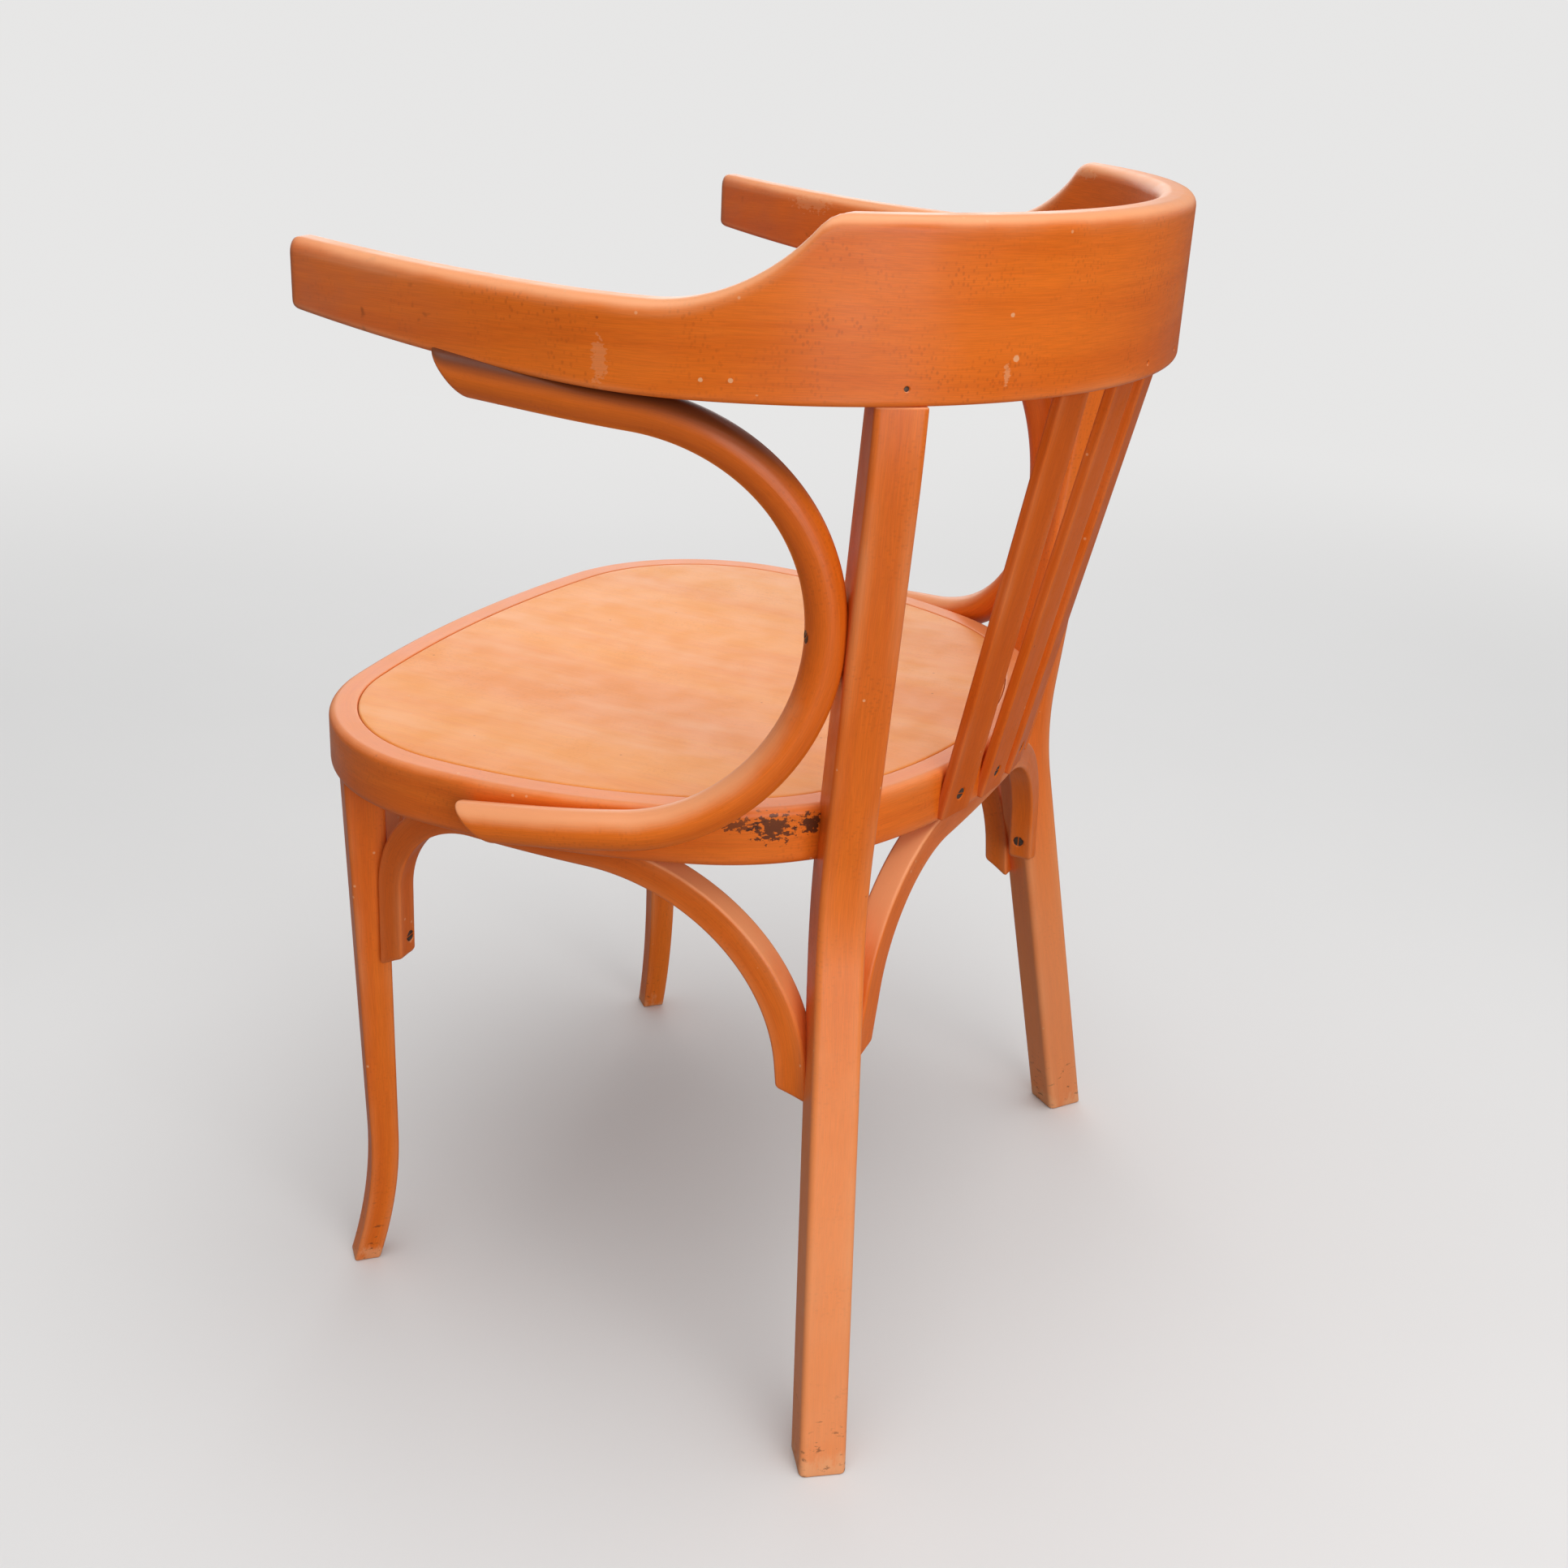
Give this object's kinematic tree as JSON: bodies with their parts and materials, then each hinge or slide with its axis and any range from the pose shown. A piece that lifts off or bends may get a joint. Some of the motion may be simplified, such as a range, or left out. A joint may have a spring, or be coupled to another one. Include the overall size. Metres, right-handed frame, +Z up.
{
  "type": "bentwood armchair",
  "caption": "Bentwood armchair: one bent board forms back and arms, on bent rear legs, straight back slats, round-rod arm loops, a rounded seat ring with a dished panel, and arched leg braces.",
  "frame": {"origin": "on the floor, under the middle of the chair's width and depth", "axes": "+Z up, -Y towards the front of the seat, +X towards the sitter's left"},
  "size_m": [0.5706, 0.5189, 0.782],
  "materials": {
    "bent_beech": "satin varnish",
    "seat_plywood": "satin varnish",
    "steel_fixings": "dull"
  },
  "bodies": {
    "root": {"arm_rail": "bent_beech", "rear_leg_left": "bent_beech", "rear_leg_right": "bent_beech", "front_leg_left": "bent_beech", "front_leg_right": "bent_beech", "seat_ring": "bent_beech", "arm_loop_left": "bent_beech", "arm_loop_right": "bent_beech", "back_slat_1": "bent_beech", "back_slat_2": "bent_beech", "back_slat_3": "bent_beech", "back_slat_4": "bent_beech", "side_brace_left": "bent_beech", "side_brace_right": "bent_beech", "rear_brace": "bent_beech", "front_brace": "bent_beech", "seat_panel": "seat_plywood", "slat_screws": "steel_fixings", "brace_leg_screws": "steel_fixings", "brace_seat_screws": "steel_fixings", "rear_leg_screws": "steel_fixings", "rear_leg_washers": "steel_fixings", "loop_arm_screws": "steel_fixings", "loop_post_screws": "steel_fixings", "loop_seat_screws": "steel_fixings", "rail_pins": "steel_fixings"}
  },
  "joints": []
}
